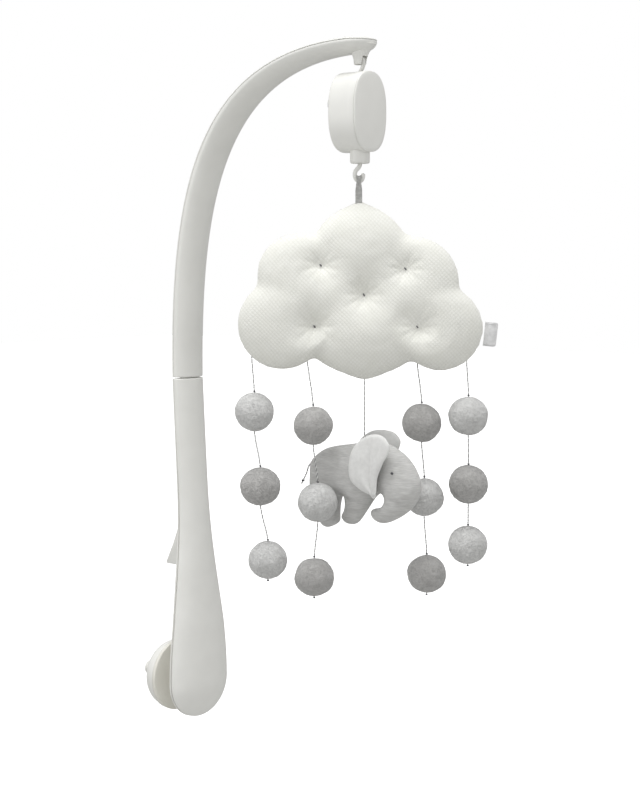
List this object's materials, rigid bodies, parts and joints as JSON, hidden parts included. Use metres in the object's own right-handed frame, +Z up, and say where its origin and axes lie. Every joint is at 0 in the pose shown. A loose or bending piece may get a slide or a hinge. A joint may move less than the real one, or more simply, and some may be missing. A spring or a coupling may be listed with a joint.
{
  "type": "crib mobile",
  "caption": "Clamp-on crib mobile: arched arm, wind-up music box, quilted cloud with felt balls on strings and a soft elephant.",
  "frame": {"origin": "middle of the flat underside of the rail hook, where the post sits on the crib rail", "axes": "+X from the post towards the crib, under the arm; +Y along the rail; +Z up"},
  "size_m": [0.3577, 0.1486, 0.6248],
  "materials": {
    "off_white_plastic": "satin moulded, warm off-white",
    "pad_plastic": "soft matte, warm off-white",
    "steel": "plain steel",
    "brass": "turned brass",
    "cloud_knit": "cream quilted knit",
    "label_cloth": "white woven label",
    "twill_tape": "grey ribbed twill tape",
    "felt_light": "light grey felted wool",
    "felt_dark": "darker grey felted wool",
    "twine": "two-tone grey cotton twine",
    "grey_knit": "fine grey knit",
    "ear_cloth": "white cotton front, grey back"
  },
  "bodies": {
    "post": {"post_front_shell": "off_white_plastic", "post_back_cover": "off_white_plastic", "clamp_bolt": "off_white_plastic", "post_screw_1": "steel", "post_screw_2": "steel", "arm_inner_shell": "off_white_plastic", "arm_outer_cover": "off_white_plastic", "arm_spigot": "off_white_plastic", "hanger_pin": "steel"},
    "pad": {"clamp_pad": "pad_plastic"},
    "knob": {"clamp_knob": "off_white_plastic"},
    "music_box": {"box_body": "off_white_plastic", "box_front_cover": "off_white_plastic", "box_hook": "off_white_plastic", "box_screw_1": "steel", "box_screw_2": "steel", "box_screw_3": "steel", "mainspring_housing": "steel", "mainspring": "steel", "movement_frame": "steel", "comb": "steel", "comb_screw_1": "steel", "comb_screw_2": "steel", "governor_bracket": "steel", "output_bush": "brass"},
    "winder": {"winding_key": "off_white_plastic", "winding_arbor": "steel", "main_gear": "brass"},
    "governor": {"governor_wheel": "brass"},
    "worm": {"worm_shaft": "steel", "air_brake_fan": "steel"},
    "drum": {"pinned_cylinder": "brass", "drum_gear": "brass", "drive_pinion": "brass", "output_shaft": "steel", "output_hook": "off_white_plastic"},
    "cloud": {"hanging_loop": "twill_tape", "cloud_cushion": "cloud_knit", "cloud_label": "label_cloth", "string_elephant": "twine"},
    "elephant": {"elephant_body": "grey_knit", "elephant_ear_near": "ear_cloth", "elephant_ear_far": "ear_cloth", "elephant_tail": "twine"},
    "left_balls": {"string_left": "twine", "ball_left_1": "felt_light", "ball_left_2": "felt_dark", "ball_left_3": "felt_light"},
    "inner_left_balls": {"string_inner_left": "twine", "ball_inner_left_1": "felt_dark", "ball_inner_left_2": "felt_light", "ball_inner_left_3": "felt_dark"},
    "inner_right_balls": {"string_inner_right": "twine", "ball_inner_right_1": "felt_dark", "ball_inner_right_2": "felt_light", "ball_inner_right_3": "felt_dark"},
    "right_balls": {"string_right": "twine", "ball_right_1": "felt_light", "ball_right_2": "felt_dark", "ball_right_3": "felt_light"}
  },
  "joints": [
    {"name": "clamp_slide", "type": "slide", "parent": "post", "child": "pad", "axis": [1, 0, 0], "range_m": [-0.008, 0.013]},
    {"name": "knob_turn", "type": "hinge", "parent": "pad", "child": "knob", "pos_m": [-0.0125, 0, -0.11], "axis": [1, 0, 0], "range_deg": [-740, 1210]},
    {"name": "box_swing", "type": "hinge", "parent": "post", "child": "music_box", "pos_m": [0.2122, 0, 0.4587], "axis": [0, 1, 0], "range_deg": [-8, 8]},
    {"name": "drum_turn", "type": "hinge", "parent": "music_box", "child": "drum", "pos_m": [0.2122, 0, 0.4], "axis": [0, 0, 1], "continuous": true},
    {"name": "winder_turn", "type": "hinge", "parent": "music_box", "child": "winder", "pos_m": [0.2, 0, 0.424], "axis": [1, 0, 0], "continuous": true},
    {"name": "governor_turn", "type": "hinge", "parent": "music_box", "child": "governor", "pos_m": [0.215, -0.00855, 0.4], "axis": [0, 0, 1], "continuous": true},
    {"name": "worm_turn", "type": "hinge", "parent": "music_box", "child": "worm", "pos_m": [0.215, -0.01425, 0.4122], "axis": [1, 0, 0], "continuous": true},
    {"name": "cloud_rock", "type": "hinge", "parent": "drum", "child": "cloud", "pos_m": [0.2115, -0.00056, 0.3566], "axis": [0.7818, 0.6235, 0], "range_deg": [-10, 10]},
    {"name": "elephant_twist", "type": "hinge", "parent": "cloud", "child": "elephant", "pos_m": [0.21572, 0.00281, 0.1342], "axis": [0, 0, 1], "range_deg": [-60, 0]},
    {"name": "left_swing", "type": "hinge", "parent": "cloud", "child": "left_balls", "pos_m": [0.13972, -0.0578, 0.20188], "axis": [0.7818, 0.6235, 0], "range_deg": [-16, 16]},
    {"name": "inner_left_swing", "type": "hinge", "parent": "cloud", "child": "inner_left_balls", "pos_m": [0.1806, -0.03159, 0.19984], "axis": [0.7818, 0.6235, 0], "range_deg": [-16, 0]},
    {"name": "inner_right_swing", "type": "hinge", "parent": "cloud", "child": "inner_right_balls", "pos_m": [0.24833, 0.03521, 0.1977], "axis": [0.7818, 0.6235, 0], "range_deg": [0, 16]},
    {"name": "right_swing", "type": "hinge", "parent": "cloud", "child": "right_balls", "pos_m": [0.28436, 0.05755, 0.19936], "axis": [0.7818, 0.6235, 0], "range_deg": [-16, 16]}
  ],
  "couplings": [
    {"joint": "knob_turn", "follows": "clamp_slide", "rad_per_m": 1570.8},
    {"joint": "winder_turn", "follows": "drum_turn", "ratio": -0.3},
    {"joint": "governor_turn", "follows": "drum_turn", "ratio": -2.6},
    {"joint": "worm_turn", "follows": "drum_turn", "ratio": 46.8}
  ]
}
